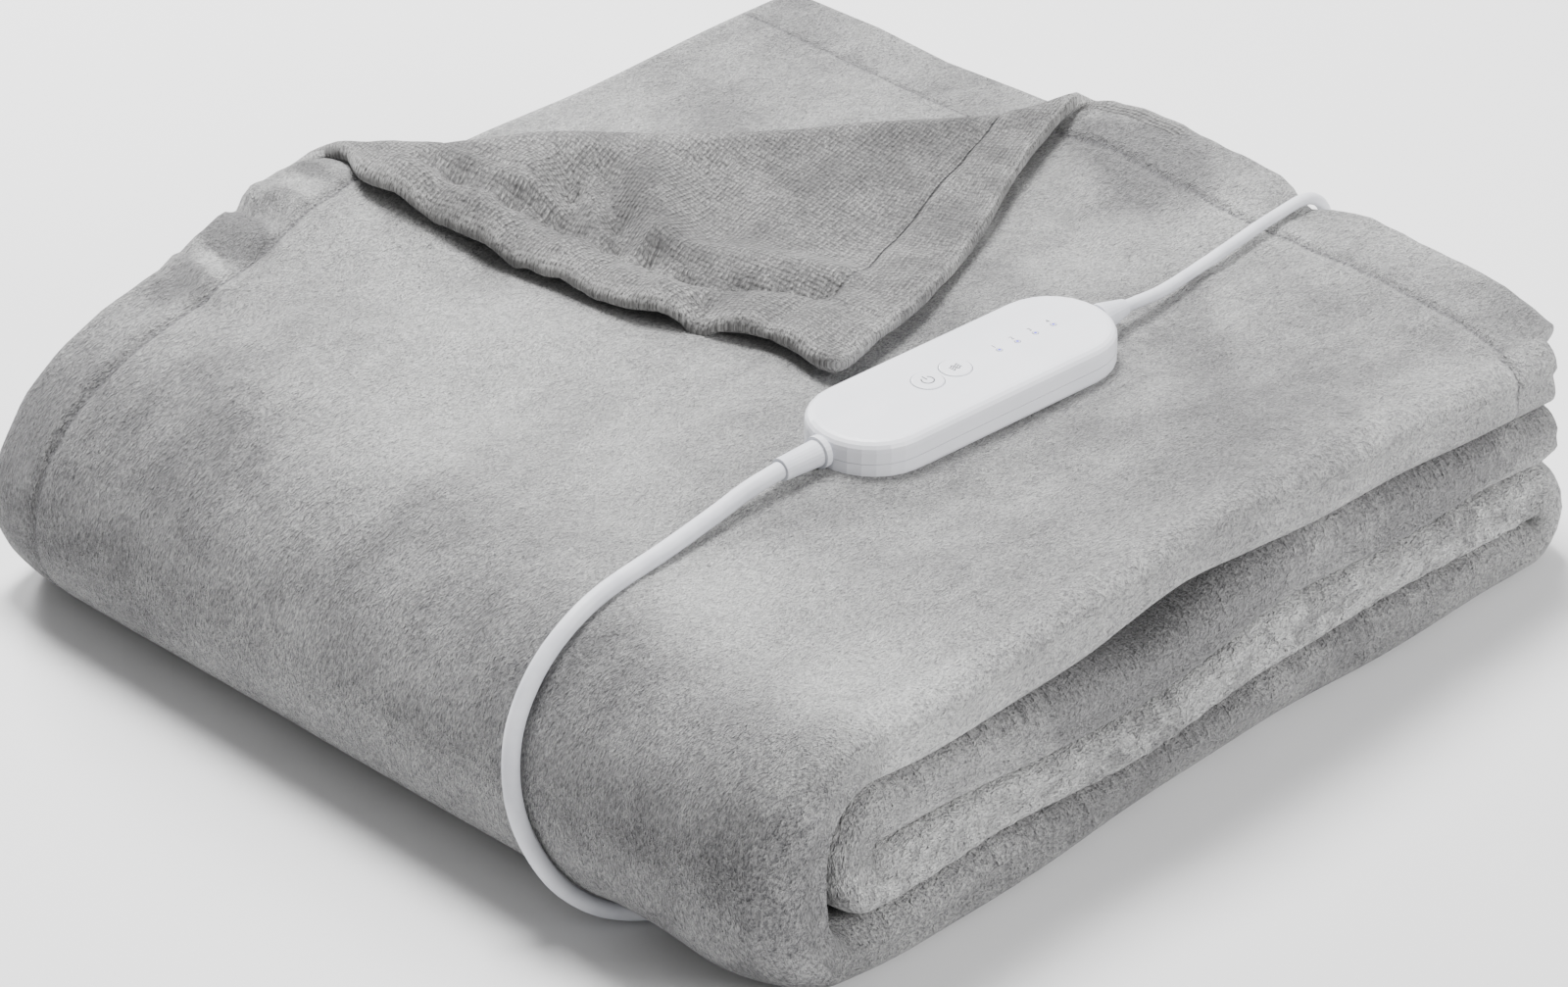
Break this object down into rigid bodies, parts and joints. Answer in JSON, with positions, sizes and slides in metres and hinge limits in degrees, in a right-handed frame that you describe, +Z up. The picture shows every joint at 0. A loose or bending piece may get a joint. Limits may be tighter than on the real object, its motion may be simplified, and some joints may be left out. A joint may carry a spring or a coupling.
{
  "type": "electric heated blanket",
  "caption": "Plush electric heated throw folded into a flat stack with one corner turned back, its hand control with push keys lying on top and its mains lead run over the front.",
  "frame": {"origin": "under the middle of the folded stack's box, on the surface that it lies on", "axes": "+Z up; -Y is the rounded front where the strip of plies wraps round the stack, +Y the back with the hemmed ends, +X the side where the folded plies show, -X the side of the long hem"},
  "size_m": [0.4448, 0.5698, 0.1258],
  "materials": {
    "plush": "light grey flannel plush",
    "white_plastic": "semi-gloss moulded white",
    "key_plastic": "satin moulded white",
    "cord_jacket": "satin white cord jacket",
    "lamp_lens": "clear blue-violet lens",
    "tie_rubber": "matt pale rubber",
    "pin_metal": "nickel-plated brass"
  },
  "bodies": {
    "throw": {"blanket": "plush", "control_base": "white_plastic", "control_top": "white_plastic", "light_1": "lamp_lens", "light_2": "lamp_lens", "light_3": "lamp_lens", "light_4": "lamp_lens", "mains_relief": "cord_jacket", "lead_relief": "cord_jacket", "mains_lead": "cord_jacket", "mains_tail": "cord_jacket", "mains_coil": "cord_jacket", "coil_tie": "tie_rubber", "plug_relief": "cord_jacket", "mains_plug": "white_plastic", "plug_pin_1": "pin_metal", "plug_pin_2": "pin_metal", "blanket_lead": "cord_jacket", "lead_plug": "white_plastic", "blanket_socket": "white_plastic"},
    "key_power": {"key_power": "key_plastic"},
    "key_heat": {"key_heat": "key_plastic"}
  },
  "joints": [
    {"name": "key_power_press", "type": "slide", "parent": "throw", "child": "key_power", "axis": [0.0015, -0.0174, -0.9998], "range_m": [0, 0.0006], "stiffness_N_per_m": 800, "springref_m": -0.0003},
    {"name": "key_heat_press", "type": "slide", "parent": "throw", "child": "key_heat", "axis": [0.0015, -0.0174, -0.9998], "range_m": [0, 0.0006], "stiffness_N_per_m": 800, "springref_m": -0.0003}
  ]
}
